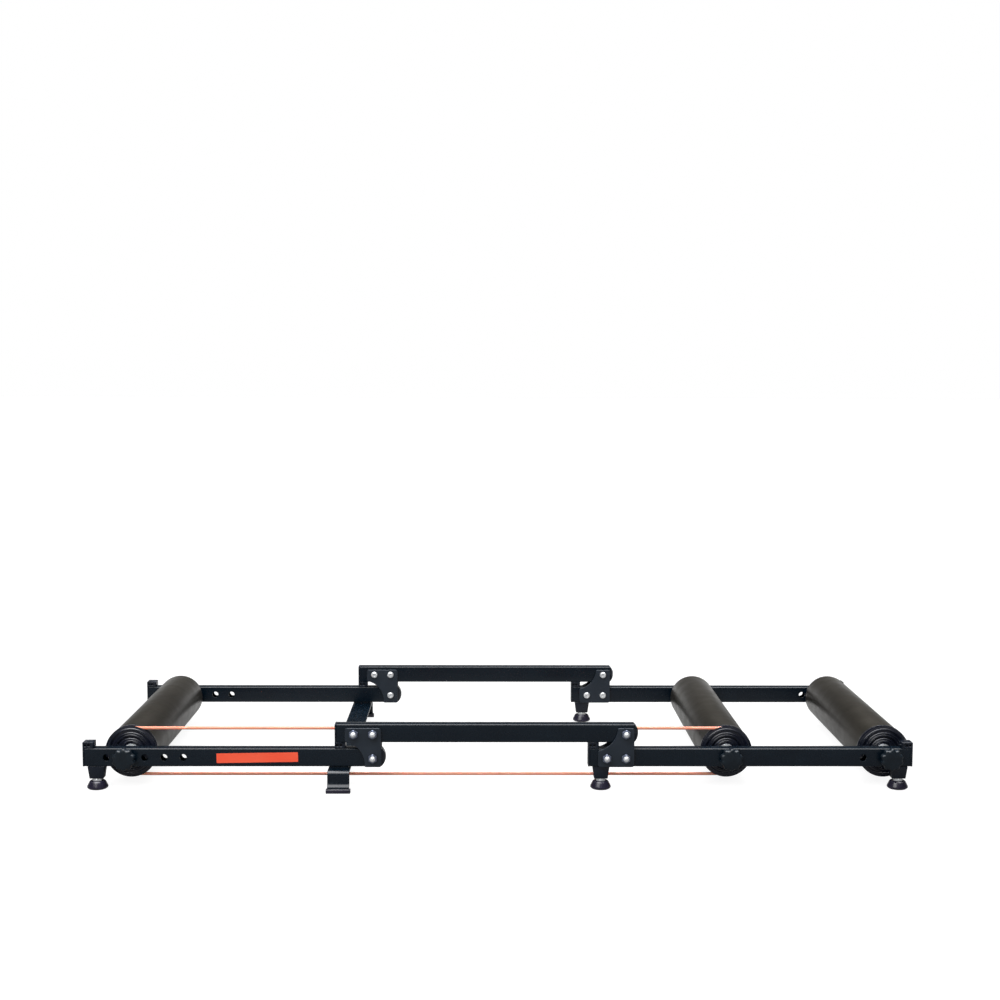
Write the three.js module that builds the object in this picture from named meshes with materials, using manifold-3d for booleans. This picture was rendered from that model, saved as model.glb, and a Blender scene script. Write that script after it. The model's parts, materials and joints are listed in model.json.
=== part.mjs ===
// Folding bike rollers: three hinged frame sections, three drums on bearings, a drive belt,
// a stand under the front section, levelling feet and hand knobs. All lengths are millimetres.
// X runs from the front drum to the rear drums, -Y is the rider's left, Z is up from the floor.
// The origin is on the floor under the middle of the whole object.
import * as THREE from 'three'
import { mergeVertices } from 'three/addons/utils/BufferGeometryUtils.js'
import Module from 'manifold-3d'

const wasm = await Module()
wasm.setup()

// Clearances and cutters
const seat = 0.3
const holeFit = 0.4
const overrun = 1
const weld = 0.0001

// Frame tube
const frameLength = 1303
const frameWidth = 480
const railWidth = 20
const railHeight = 28.5
const railWall = 1.8
const noseReach = 20
const noseBulge = 7
const levelGap = 10

// Stations along the frame
const footInset = 20.5
const foldSpan = 396.8
const middleOverhang = 59.9
const rearOverhang = 59.1
const firstHoleInset = 37
const holePitch = 30
const holeCount = 5
const frontDrumHole = 1
const middleDrumBack = 164.6
const cradleSpan = 251.7
const rearDrumInset = 36
const spareHoleAhead = 42.3

// Hinge plates and their bolts
const plateThickness = 4
const plateBack = 43.5
const plateFront = 13
const plateTopDrop = 5.2
const plateCorner = 4
const boltSpacing = 30
const boltRadius = 4
const nutRadius = 7.5
const nutHeight = 5.5
const domeRadius = 5.6
const domeHeight = 5
const headRadius = 5.8
const headRimHeight = 2.5
const headHeight = 4.3
const reliefBack = 50.5
const reliefDrop = 10.75
const reliefRadius = 38

// End caps and foot sockets
const flangeThickness = 3
const plugLength = 19
const plugFit = 0.3
const upstandLength = 16.8
const recessSize = 3.2
const recessDepth = 1.2
const recessPitch = 5.6
const recessInset = 4.2
const recessRise = 4.9
const socketTop = 26.5
const socketBottom = 21.5
const socketHeight = 20
const socketDepth = 19.4
const neckRadius = 6
const neckRise = 3
const studHeadroom = 6

// Levelling feet
const padBaseRadius = 13.8
const padRadius = 16.4
const padRimHeight = 2.2
const padSkirtHeight = 3.8
const padTopRadius = 12.2
const padShoulderHeight = 11.6
const padHeight = 13
const jamNutRadius = 8
const jamNutHeight = 4
const studRadius = 4
const studTopGap = 1

// Stand under the front section
const standBehindPivot = 53
const standWidth = 34.5
const standThickness = 3
const spacerHeight = 3
const spacerLength = 30
const spacerInset = 1.5
const standOutboard = 16
const standBend = 8
const standFlare = 5
const flareTop = 14
const flareBottom = 8
const grooveWidth = 9
const grooveDepth = 1.2
const grooveShort = 12
const shoeHeight = 6.4
const shoeSole = 2
const shoeWall = 2.4
const shoeEnd = 1.5

// Drums, belt, axles and knobs
const drumRadius = 40
const drumWall = 2.5
const drumEndGap = 17.5
const capRimGap = 0.4
const flangeRise = 1
const flangeWidth = 1.8
const grooveSlope = 1
const rootWidth = 5
const shoulderWidth = 3
const plainRimWidth = 4
const capPlugDepth = 8
const capFaceDepth = 2.8
const faceHubRadius = 16
const faceInnerGroove = 22.9
const outerGrooveInset = 7.6
const faceGrooveHalf = 1.4
const faceEdge = 1.2
const beltInset = 3
const beltRadius = 2.5
const beltSeat = 0.5
const bearingRadius = 13
const bearingWidth = 8
const bearingRecess = 2.5
const axleRadius = 5
const spacerRadius = 7.5
const lockNutRadius = 9.8
const lockNutWidth = 8
const knobNeckRadius = 9
const knobNeckLength = 5
const knobRadius = 16.8
const knobLobeDepth = 1.2
const knobLobes = 10
const knobLength = 19
const knobBoreDepth = 14

// Facet counts
const drumFacets = 32
const capFacets = 20
const bearingFacets = 12
const footFacets = 12
const holeFacets = 10
const boltFacets = 8
const hexagon = 6
const square = 4
const arcSteps = 5
const beltSides = 8
const beltArcSteps = 14
const lobeSteps = 4

// Places worked out from the sizes above
const halfRail = railWidth / 2
const halfHeight = railHeight / 2
const railMidY = frameWidth / 2 - halfRail
const innerFaceY = frameWidth / 2 - railWidth
const lowerMidZ = padHeight + jamNutHeight + socketHeight + halfHeight
const raisedMidZ = lowerMidZ + railHeight + levelGap
const boltDrop = raisedMidZ - lowerMidZ
const upstandHeight = levelGap - seat
const rearDrumX = frameLength - rearDrumInset
const middleDrumX = rearDrumX - cradleSpan
const rearPivotX = middleDrumX - middleDrumBack
const frontPivotX = rearPivotX - foldSpan
const middleStartX = frontPivotX - middleOverhang
const rearStartX = rearPivotX - rearOverhang
const frontDrumX = firstHoleInset + frontDrumHole * holePitch
const drumEndY = innerFaceY - drumEndGap
const axleHoleRadius = axleRadius + holeFit
const boltHoleRadius = boltRadius + holeFit
const neckHoleRadius = neckRadius + holeFit
const blockReach = halfHeight + upstandHeight
const standTop = lowerMidZ - halfHeight - seat - spacerHeight
const shoeLength = standWidth + 2 * (seat + shoeEnd)
const beltPitchRadius = drumRadius - beltInset
const faceOuterGroove = drumRadius - outerGrooveInset
const flangeRadius = drumRadius + flangeRise
const grooveMid = flangeWidth + grooveSlope + rootWidth / 2
const pulleyWidth = 2 * grooveMid + shoulderWidth - flangeWidth
const overallLength = Math.max(frameLength, rearDrumX + flangeRadius)

const sides = [['left', -1], ['right', 1]]

// Finishes of the pieces
const finishes = {
  frame: { color: 0x191d24, roughness: 0.42, metalness: 0.3 },
  plate: { color: 0x25282f, roughness: 0.46, metalness: 0.3 },
  capPlastic: { color: 0x17181b, roughness: 0.6, metalness: 0 },
  drum: { color: 0x3b3836, roughness: 0.24, metalness: 0.75 },
  drumCap: { color: 0x1b1d22, roughness: 0.5, metalness: 0 },
  zinc: { color: 0xc9ccd0, roughness: 0.25, metalness: 1 },
  bearing: { color: 0xd2d4d6, roughness: 0.18, metalness: 1 },
  rubber: { color: 0x121214, roughness: 0.8, metalness: 0 },
  knob: { color: 0x1d1f23, roughness: 0.55, metalness: 0 },
  belt: { color: 0xe97b55, roughness: 0.38, metalness: 0 }
}

// A closed solid from a geometry, with its faces turned outwards
function solid(shape) {
  if (!shape.isBufferGeometry) return shape
  const bare = shape.clone()
  bare.deleteAttribute('normal')
  bare.deleteAttribute('uv')
  const merged = mergeVertices(bare, weld)
  const vertProperties = merged.attributes.position.array
  const index = merged.index.array
  const faces = []
  for (let i = 0; i < index.length; i += 3) {
    const [a, b, c] = index.slice(i, i + 3)
    if (a !== b && b !== c && c !== a) faces.push(a, b, c)
  }
  const made = manifold(vertProperties, faces)
  return made.volume() > 0 ? made : manifold(vertProperties, faces.reverse())
}

function manifold(vertProperties, faces) {
  const triVerts = new Uint32Array(faces)
  return new wasm.Manifold(new wasm.Mesh({ numProp: 3, vertProperties, triVerts }))
}

function join(...shapes) {
  return shapes.map(solid).reduce((whole, shape) => whole.add(shape))
}

function cut(body, ...tools) {
  return tools.map(solid).reduce((rest, tool) => rest.subtract(tool), solid(body))
}

function geometryOf(shape) {
  const source = solid(shape).getMesh()
  const geometry = new THREE.BufferGeometry()
  geometry.setAttribute('position', new THREE.BufferAttribute(source.vertProperties, 3))
  geometry.setIndex(new THREE.BufferAttribute(source.triVerts, 1))
  return geometry
}

function piece(name, shape, finish) {
  const flat = geometryOf(shape).toNonIndexed()
  flat.computeVertexNormals()
  const mesh = new THREE.Mesh(flat, new THREE.MeshStandardMaterial(finishes[finish]))
  mesh.name = name
  return mesh
}

function place(group, mesh, x, y, z) {
  mesh.position.set(x, y, z)
  group.add(mesh)
  return mesh
}

// Plain shapes
function block([x0, x1], [y0, y1], [z0, z1]) {
  const box = new THREE.BoxGeometry(x1 - x0, y1 - y0, z1 - z0)
  return box.translate((x0 + x1) / 2, (y0 + y1) / 2, (z0 + z1) / 2)
}

function slab(outline, y0, y1) {
  const options = { depth: y1 - y0, bevelEnabled: false, curveSegments: arcSteps }
  return new THREE.ExtrudeGeometry(outline, options).rotateX(Math.PI / 2).translate(0, y1, 0)
}

function strip(outline, x0, x1) {
  const options = { depth: x1 - x0, bevelEnabled: false, curveSegments: arcSteps }
  const diagonal = new THREE.Vector3(1, 1, 1).normalize()
  const turn = new THREE.Matrix4().makeRotationAxis(diagonal, 2 * Math.PI / 3)
  return new THREE.ExtrudeGeometry(outline, options).applyMatrix4(turn).translate(x0, 0, 0)
}

// A profile of [radius, height] points turned about the Y axis
function turned(profile, facets) {
  return new THREE.LatheGeometry(profile.map(([r, h]) => new THREE.Vector2(r, h)), facets)
}

function ring(profile, facets) {
  return turned([...profile, profile[0]], facets)
}

function rod(radius, y0, y1, facets) {
  return new THREE.CylinderGeometry(radius, radius, y1 - y0, facets).translate(0, (y0 + y1) / 2, 0)
}

// From and to, measured outwards on one side of the frame, as a low and a high Y
function span(side, from, to) {
  return side > 0 ? [from, to] : [-to, -from]
}

// The same profile, pointing to the left or the right side of the frame
function facing(profile, side) {
  return profile.map(([r, h]) => [r, side * h])
}

// Rails: hollow tubes, some with a rounded closed nose at the rear end
function railOutline(length, nosed) {
  const outline = new THREE.Shape()
  outline.moveTo(0, -halfHeight)
  if (nosed) {
    const radius = (halfHeight ** 2 + noseBulge ** 2) / (2 * noseBulge)
    const sweep = Math.asin(halfHeight / radius)
    outline.lineTo(length - noseBulge, -halfHeight)
    outline.absarc(length - radius, 0, radius, -sweep, sweep, false)
  } else {
    outline.lineTo(length, -halfHeight)
    outline.lineTo(length, halfHeight)
  }
  outline.lineTo(0, halfHeight)
  outline.closePath()
  return outline
}

function rail(length, nosed, crossHoles, socketHoles) {
  const hollowEnd = nosed ? length - noseBulge - railWall : length + overrun
  const hollowY = halfRail - railWall
  const hollowZ = halfHeight - railWall
  const cavity = block([-overrun, hollowEnd], [-hollowY, hollowY], [-hollowZ, hollowZ])
  const drilled = crossHoles.map(([x, radius]) =>
    rod(radius, -halfRail - overrun, halfRail + overrun, holeFacets).translate(x, 0, 0))
  const necks = socketHoles.map((x) =>
    rod(neckHoleRadius, -halfHeight - overrun, -hollowZ + overrun, holeFacets)
      .rotateX(Math.PI / 2).translate(x, 0, 0))
  return cut(slab(railOutline(length, nosed), -halfRail, halfRail), cavity, ...drilled, ...necks)
}

// End caps: a flange, a plug in the tube, a block above or below the rail, and a foot socket
function capBlock(up) {
  const width = [-halfRail, halfRail]
  const flange = block([0, flangeThickness], width, span(up, -halfHeight, blockReach))
  const raised = block([0, upstandLength], width, span(up, halfHeight + seat, blockReach))
  return join(flange, raised)
}

function capRecesses(up) {
  const z = up * (halfHeight + recessRise)
  const half = recessSize / 2
  const depthRanges = [
    [halfRail - recessDepth, halfRail + overrun],
    [-halfRail - overrun, recessDepth - halfRail]
  ]
  const stations = [recessInset, recessInset + recessPitch]
  return stations.flatMap((x) =>
    depthRanges.map((range) => block([x - half, x + half], range, [z - half, z + half])))
}

function capPlug() {
  const y = halfRail - railWall - plugFit
  const z = halfHeight - railWall - plugFit
  return block([flangeThickness - overrun, flangeThickness + plugLength], [-y, y], [-z, z])
}

function footSocket() {
  const top = socketTop / Math.SQRT2
  const bottom = socketBottom / Math.SQRT2
  const height = socketHeight - seat
  const body = new THREE.CylinderGeometry(top, bottom, height, square)
    .rotateY(Math.PI / 4).rotateX(Math.PI / 2)
    .scale(1, socketDepth / socketTop, 1)
    .translate(footInset, 0, -halfHeight - seat - height / 2)
  const neck = rod(neckRadius, -halfHeight - seat - overrun, -halfHeight + neckRise, holeFacets)
    .rotateX(Math.PI / 2).translate(footInset, 0, 0)
  return join(body, neck)
}

function endCap(up, withFoot) {
  const shell = join(capBlock(up), capPlug())
  if (!withFoot) return cut(shell, ...capRecesses(up))
  const boreFoot = -halfHeight - socketHeight - overrun
  const bore = rod(studRadius + holeFit, boreFoot, -studHeadroom, holeFacets)
    .rotateX(Math.PI / 2).translate(footInset, 0, 0)
  return cut(join(shell, footSocket()), bore, ...capRecesses(up))
}

// A levelling foot: rubber pad, jam nut and stud, from the floor up
function foot() {
  const nutTop = padHeight + jamNutHeight - seat
  const studTop = lowerMidZ - studHeadroom - studTopGap
  const profile = [
    [0, 0], [padBaseRadius, 0], [padRadius, padRimHeight], [padRadius, padSkirtHeight],
    [padTopRadius, padShoulderHeight], [jamNutRadius, padHeight], [jamNutRadius, nutTop],
    [studRadius, nutTop], [studRadius, studTop], [0, studTop]
  ]
  return turned(profile, footFacets).rotateX(Math.PI / 2)
}

// Hinge plates: an outline about the pivot, cut by an arc that clears a foot when folded
function plateOutline(up) {
  const pivotEdge = up > 0 ? halfHeight : halfHeight - plateTopDrop
  const farEdge = up > 0 ? boltDrop + halfHeight - plateTopDrop : boltDrop + halfHeight
  const reliefEnd = Math.sqrt(reliefRadius ** 2 - (pivotEdge - reliefDrop) ** 2) - reliefBack
  const start = Math.acos((reliefBack - plateBack) / reliefRadius)
  const end = Math.atan2(reliefDrop - pivotEdge, reliefEnd + reliefBack)
  const outline = new THREE.Shape()
  outline.moveTo(reliefEnd, -pivotEdge)
  outline.lineTo(plateFront - plateCorner, -pivotEdge)
  outline.lineTo(plateFront, plateCorner - pivotEdge)
  outline.lineTo(plateFront, farEdge - plateCorner)
  outline.quadraticCurveTo(plateFront, farEdge, plateFront - plateCorner, farEdge)
  outline.lineTo(plateCorner - plateBack, farEdge)
  outline.quadraticCurveTo(-plateBack, farEdge, -plateBack, farEdge - plateCorner)
  outline.absarc(-reliefBack, -reliefDrop, reliefRadius, start, end, true)
  outline.closePath()
  return outline
}

function plateSlab(up, y0, y1) {
  const outline = plateOutline(up)
  if (up > 0) return slab(outline, y0, y1)
  return slab(outline, -y1, -y0).rotateX(Math.PI)
}

// A bolt across the rail: dome nut outside, shank, button head inside
function bolt(side, nutFace) {
  const headFace = -(halfRail + 2 * seat + plateThickness)
  const nut = rod(nutRadius, ...span(side, nutFace, nutFace + nutHeight), hexagon)
  const profile = [
    [0, headFace - headHeight], [headRadius - headRimHeight, headFace - headHeight],
    [headRadius, headFace - headRimHeight], [headRadius, headFace], [boltRadius, headFace],
    [boltRadius, nutFace + overrun], [domeRadius, nutFace + overrun],
    [domeRadius, nutFace + nutHeight + domeHeight / 2],
    [domeRadius / 2, nutFace + nutHeight + domeHeight], [0, nutFace + nutHeight + domeHeight]
  ]
  return join(nut, turned(facing(profile, side), boltFacets))
}

function outerPlate(side, up) {
  const far = halfRail + seat + plateThickness
  const plate = plateSlab(up, ...span(side, far - plateThickness, far))
  const fixed = [0, -boltSpacing].map((x) =>
    geometryOf(bolt(side, far - overrun / 2)).translate(x, 0, up * boltDrop))
  return cut(join(plate, ...fixed), pivotHole())
}

function innerPlate(side, up) {
  const far = halfRail + seat + plateThickness
  const plate = plateSlab(up, ...span(-side, far - plateThickness, far))
  const holes = [0, -boltSpacing].map((x) => pivotHole().translate(x, 0, up * boltDrop))
  return cut(plate, pivotHole(), ...holes)
}

function pivotHole() {
  const reach = halfRail + 2 * plateThickness
  return rod(boltHoleRadius, -reach, reach, holeFacets)
}

// The stand: one pressed strip with a leg at each end, on a spacer under each rail
function standOutline() {
  const top = standTop
  const outer = frameWidth / 2 + standOutboard
  const inner = outer - standThickness
  const outline = new THREE.Shape()
  outline.moveTo(-outer - standFlare, shoeSole)
  outline.lineTo(-outer - standFlare, flareBottom)
  outline.lineTo(-outer, flareTop)
  outline.absarc(standBend - outer, top - standBend, standBend, Math.PI, Math.PI / 2, true)
  outline.absarc(outer - standBend, top - standBend, standBend, Math.PI / 2, 0, true)
  outline.lineTo(outer, flareTop)
  outline.lineTo(outer + standFlare, flareBottom)
  outline.lineTo(outer + standFlare, shoeSole)
  outline.lineTo(inner + standFlare, shoeSole)
  outline.lineTo(inner + standFlare, flareBottom)
  outline.lineTo(inner, flareTop)
  outline.lineTo(inner, top - standBend)
  outline.lineTo(outer - standBend, top - standThickness)
  outline.lineTo(standBend - outer, top - standThickness)
  outline.lineTo(-inner, top - standBend)
  outline.lineTo(-inner, flareTop)
  outline.lineTo(-inner - standFlare, flareBottom)
  outline.lineTo(-inner - standFlare, shoeSole)
  outline.closePath()
  return outline
}

function standBar() {
  const reach = innerFaceY - grooveShort
  const groove = block([-grooveWidth / 2, grooveWidth / 2], [-reach, reach],
    [standTop - grooveDepth, standTop + overrun])
  const spacers = sides.map(([, side]) => block([-spacerLength / 2, spacerLength / 2],
    span(side, innerFaceY + spacerInset, frameWidth / 2 - spacerInset),
    [standTop - standThickness / 2, standTop + spacerHeight]))
  const bar = strip(standOutline(), -standWidth / 2, standWidth / 2)
  return cut(join(bar, ...spacers), groove)
}

// A rubber shoe: a block with a slot that the leg's toe stands in
function standShoe(side) {
  const toeOuter = frameWidth / 2 + standOutboard + standFlare
  const toeInner = toeOuter - standThickness
  const body = block([-shoeLength / 2, shoeLength / 2],
    span(side, toeInner - seat - shoeWall, toeOuter + seat + shoeWall), [0, shoeHeight])
  const slotHalf = standWidth / 2 + seat
  const slot = block([-slotHalf, slotHalf], span(side, toeInner - seat, toeOuter + seat),
    [shoeSole - seat, shoeHeight + overrun])
  return cut(body, slot)
}

// Drums: a tube with a grooved pulley cap at the left and a plain cap at the right
function drumTube() {
  const left = pulleyWidth - drumEndY
  const right = drumEndY - plainRimWidth
  const inner = drumRadius - drumWall
  return ring([[inner, left], [drumRadius, left], [drumRadius, right], [inner, right]], drumFacets)
}

function faceGroove(radius) {
  return [[radius - faceGrooveHalf, 0], [radius, capFaceDepth], [radius + faceGrooveHalf, 0]]
}

function capFace(rim) {
  return [
    [bearingRadius + seat, bearingRecess], [faceHubRadius - faceEdge, bearingRecess],
    [faceHubRadius, 0], ...faceGroove(faceInnerGroove), ...faceGroove(faceOuterGroove),
    [rim - faceEdge, 0], [rim, faceEdge]
  ]
}

function pulleyCap() {
  const rim = flangeRadius
  const root = beltPitchRadius - beltRadius - beltSeat
  const plug = drumRadius - drumWall - seat
  const width = pulleyWidth - seat
  const profile = [
    ...capFace(rim), [rim, flangeWidth], [root, flangeWidth + grooveSlope],
    [root, flangeWidth + grooveSlope + rootWidth], [rim, flangeWidth + 2 * grooveSlope + rootWidth],
    [rim, width], [plug, width], [plug, width + capPlugDepth],
    [bearingRadius + seat, width + capPlugDepth]
  ]
  return ring(profile.map(([r, depth]) => [r, depth - drumEndY]), capFacets)
}

function plainCap() {
  const rim = drumRadius - capRimGap
  const plug = drumRadius - drumWall - seat
  const width = plainRimWidth - seat
  const profile = [
    ...capFace(rim), [rim, width], [plug, width], [plug, width + capPlugDepth],
    [bearingRadius + seat, width + capPlugDepth]
  ]
  return ring(profile.map(([r, depth]) => [r, drumEndY - depth]), capFacets)
}

function bearing(side) {
  const outer = drumEndY - bearingRecess
  const profile = [
    [axleRadius + seat, outer - bearingWidth], [bearingRadius, outer - bearingWidth],
    [bearingRadius, outer], [axleRadius + seat, outer]
  ]
  return ring(facing(profile, side), bearingFacets)
}

// An axle: spacer and lock nut at each end, clamped to the rail by the knobs
function axleEnd(side) {
  const spacerStart = drumEndY - bearingRecess + seat
  const nutEnd = innerFaceY - seat
  const nutStart = nutEnd - lockNutWidth
  return [
    rod(spacerRadius, ...span(side, spacerStart, nutStart + overrun), bearingFacets),
    rod(lockNutRadius, ...span(side, nutStart, nutEnd), hexagon)
  ]
}

function axle() {
  const reach = frameWidth / 2 + knobBoreDepth - seat
  const ends = sides.flatMap(([, side]) => axleEnd(side))
  return join(rod(axleRadius, -reach, reach, boltFacets), ...ends)
}

function knobOutline() {
  const steps = knobLobes * lobeSteps
  const points = []
  for (let i = 0; i < steps; i += 1) {
    const angle = 2 * Math.PI * i / steps
    const reach = knobRadius + knobLobeDepth * Math.cos(knobLobes * angle)
    points.push(new THREE.Vector2(reach * Math.sin(angle), reach * Math.cos(angle)))
  }
  return new THREE.Shape(points)
}

function knob(side) {
  const neck = rod(knobNeckRadius, ...span(side, seat, knobNeckLength + overrun), bearingFacets)
  const head = slab(knobOutline(), ...span(side, knobNeckLength, knobLength))
  const bore = rod(axleHoleRadius, ...span(side, -overrun, knobBoreDepth), holeFacets)
  return cut(join(neck, head), bore)
}

// The drive belt: a closed tube round the front and middle pulleys
function beltPath(span) {
  const path = []
  for (const [centre, from] of [[0, Math.PI / 2], [span, -Math.PI / 2]]) {
    for (let i = 0; i <= beltArcSteps; i += 1) {
      const angle = from + Math.PI * i / beltArcSteps
      path.push([centre, Math.cos(angle), Math.sin(angle)])
    }
  }
  return path
}

function beltLoop(span) {
  const path = beltPath(span)
  const corners = []
  for (const [centre, outX, outZ] of path) {
    for (let side = 0; side < beltSides; side += 1) {
      const turn = 2 * Math.PI * side / beltSides
      const reach = beltPitchRadius + beltRadius * Math.cos(turn)
      corners.push(centre + reach * outX, beltRadius * Math.sin(turn), reach * outZ)
    }
  }
  const faces = []
  path.forEach((_, i) => {
    const next = (i + 1) % path.length
    for (let side = 0; side < beltSides; side += 1) {
      const beside = (side + 1) % beltSides
      const [a, b] = [i * beltSides + side, i * beltSides + beside]
      const [c, d] = [next * beltSides + side, next * beltSides + beside]
      faces.push(a, b, d, a, d, c)
    }
  })
  const geometry = new THREE.BufferGeometry()
  geometry.setAttribute('position', new THREE.Float32BufferAttribute(corners, 3))
  geometry.setIndex(faces)
  return geometry
}

// Assemblies
function drumSet(name, x) {
  const group = new THREE.Group()
  group.position.set(x, 0, lowerMidZ)
  group.add(piece(`${name}_drum_tube`, drumTube(), 'drum'))
  group.add(piece(`${name}_drum_pulley_cap`, pulleyCap(), 'drumCap'))
  group.add(piece(`${name}_drum_plain_cap`, plainCap(), 'drumCap'))
  group.add(piece(`${name}_axle`, axle(), 'zinc'))
  for (const [label, side] of sides) {
    group.add(piece(`${name}_bearing_${label}`, bearing(side), 'bearing'))
    const grip = piece(`${name}_knob_${label}`, knob(side), 'knob')
    place(group, grip, 0, side * frameWidth / 2, 0)
  }
  return group
}

function hingeSet(name, x, z, up) {
  const group = new THREE.Group()
  group.position.set(x, 0, z)
  const nutFace = halfRail + 2 * seat + plateThickness
  for (const [label, side] of sides) {
    const y = side * railMidY
    place(group, piece(`${name}_hinge_outer_plate_${label}`, outerPlate(side, up), 'plate'), 0, y, 0)
    place(group, piece(`${name}_hinge_inner_plate_${label}`, innerPlate(side, up), 'plate'), 0, y, 0)
    place(group, piece(`${name}_pivot_bolt_${label}`, bolt(side, nutFace), 'zinc'), 0, y, 0)
  }
  return group
}

function footAt(group, name, x) {
  for (const [label, side] of sides) {
    place(group, piece(`${name}_foot_${label}`, foot(), 'rubber'), x, side * railMidY, 0)
  }
}

function capAt(group, name, x, z, shape, reversed) {
  for (const [label, side] of sides) {
    const cap = place(group, piece(`${name}_${label}`, shape, 'capPlastic'), x, side * railMidY, z)
    if (reversed) cap.rotation.z = Math.PI
  }
}

function railAt(group, name, x, z, shape) {
  for (const [label, side] of sides) {
    place(group, piece(`${name}_rail_${label}`, shape, 'frame'), x, side * railMidY, z)
  }
}

function frontSection() {
  const group = new THREE.Group()
  const start = flangeThickness + seat
  const drumHoles = Array.from({ length: holeCount }, (_, i) => firstHoleInset + i * holePitch)
  const holes = drumHoles.map((x) => [x - start, axleHoleRadius])
  holes.push([frontPivotX - start, boltHoleRadius])
  const length = frontPivotX + noseReach - start
  railAt(group, 'front', start, lowerMidZ, rail(length, true, holes, [footInset - start]))
  capAt(group, 'front_end_cap', 0, lowerMidZ, endCap(1, true), false)
  footAt(group, 'front', footInset)
  place(group, piece('stand_crossbar', standBar(), 'frame'), frontPivotX - standBehindPivot, 0, 0)
  for (const [label, side] of sides) {
    const shoe = piece(`stand_shoe_${label}`, standShoe(side), 'rubber')
    place(group, shoe, frontPivotX - standBehindPivot, 0, 0)
  }
  group.add(drumSet('front', frontDrumX))
  return group
}

function middleSection() {
  const group = new THREE.Group()
  const start = middleStartX + flangeThickness + seat
  const stations = [frontPivotX - boltSpacing, frontPivotX, rearPivotX]
  const holes = stations.map((x) => [x - start, boltHoleRadius])
  const length = rearPivotX + noseReach - start
  railAt(group, 'middle', start, raisedMidZ, rail(length, true, holes, []))
  capAt(group, 'middle_stub_cap', middleStartX, raisedMidZ, endCap(-1, false), false)
  group.add(hingeSet('front', frontPivotX, lowerMidZ, 1))
  return group
}

function rearSection() {
  const group = new THREE.Group()
  const start = rearStartX + flangeThickness + seat
  const length = frameLength - flangeThickness - seat - start
  const bolts = [rearPivotX - boltSpacing, rearPivotX].map((x) => [x - start, boltHoleRadius])
  const drumStations = [middleDrumX, rearDrumX - spareHoleAhead, rearDrumX]
  const holes = [...bolts, ...drumStations.map((x) => [x - start, axleHoleRadius])]
  const feet = [rearStartX + footInset, frameLength - footInset]
  railAt(group, 'rear', start, lowerMidZ, rail(length, false, holes, feet.map((x) => x - start)))
  const boltCuts = [rearOverhang - boltSpacing, rearOverhang].map((x) =>
    rod(boltHoleRadius, -halfRail, halfRail, holeFacets).translate(x, 0, 0))
  const hingeCap = cut(endCap(1, true), ...boltCuts)
  capAt(group, 'rear_hinge_cap', rearStartX, lowerMidZ, hingeCap, false)
  capAt(group, 'rear_end_cap', frameLength, lowerMidZ, endCap(1, true), true)
  footAt(group, 'hinge', rearStartX + footInset)
  footAt(group, 'rear', frameLength - footInset)
  group.add(hingeSet('rear', rearPivotX, raisedMidZ, -1))
  group.add(drumSet('middle', middleDrumX), drumSet('rear', rearDrumX))
  return group
}

function driveBelt() {
  const belt = piece('drive_belt', beltLoop(middleDrumX - frontDrumX), 'belt')
  belt.position.set(frontDrumX, grooveMid - drumEndY, lowerMidZ)
  return belt
}

const rollers = new THREE.Group()
rollers.name = 'bike_rollers'
rollers.position.x = -overallLength / 2
rollers.add(frontSection(), middleSection(), rearSection(), driveBelt())

export default rollers
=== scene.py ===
import json
import math

import bmesh
import bpy
from mathutils import Matrix, Vector

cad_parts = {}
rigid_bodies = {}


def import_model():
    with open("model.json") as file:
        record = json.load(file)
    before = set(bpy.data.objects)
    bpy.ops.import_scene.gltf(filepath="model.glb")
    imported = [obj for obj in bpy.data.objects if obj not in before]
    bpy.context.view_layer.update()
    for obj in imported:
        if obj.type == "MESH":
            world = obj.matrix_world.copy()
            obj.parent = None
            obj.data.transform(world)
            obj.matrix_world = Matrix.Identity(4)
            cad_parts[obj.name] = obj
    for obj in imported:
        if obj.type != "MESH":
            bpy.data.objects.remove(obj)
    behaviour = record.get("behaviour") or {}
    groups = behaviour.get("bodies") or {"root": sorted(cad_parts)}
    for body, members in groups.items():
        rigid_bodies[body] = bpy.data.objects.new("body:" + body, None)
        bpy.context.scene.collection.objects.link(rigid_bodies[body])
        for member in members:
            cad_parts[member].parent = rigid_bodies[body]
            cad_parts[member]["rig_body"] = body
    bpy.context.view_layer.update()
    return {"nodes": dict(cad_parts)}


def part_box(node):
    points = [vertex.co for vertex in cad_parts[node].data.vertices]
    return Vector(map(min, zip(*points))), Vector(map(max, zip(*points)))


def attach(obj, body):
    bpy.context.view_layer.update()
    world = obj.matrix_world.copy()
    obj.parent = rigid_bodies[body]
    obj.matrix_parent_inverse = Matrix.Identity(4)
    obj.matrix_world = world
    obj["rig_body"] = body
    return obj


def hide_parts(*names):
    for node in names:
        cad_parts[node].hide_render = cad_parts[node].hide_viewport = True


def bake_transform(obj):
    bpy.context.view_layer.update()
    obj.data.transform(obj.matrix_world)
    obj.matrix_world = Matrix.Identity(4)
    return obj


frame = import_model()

MM = 0.001
SIDES = {"left": -1, "right": 1}
SECTIONS = ("front", "middle", "rear")

# A hexagon's distance to its flats as a share of the distance to its corners
HEX_SHARE = math.cos(math.pi / 6)

# Meshes: the angles of edges that stay sharp, that are rounded and that count as flat, the distance
# at which points join, how far a cutter reaches past what it cuts, and how deep pieces sit in others
SHARP_ANGLE = math.radians(32)
BEVEL_ANGLE = math.radians(30)
BEVEL_SEGMENTS = 3
FLAT_ANGLE = math.radians(1)
MERGE = 0.01
OVERRUN = 1
SEAT = 0.3

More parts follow.
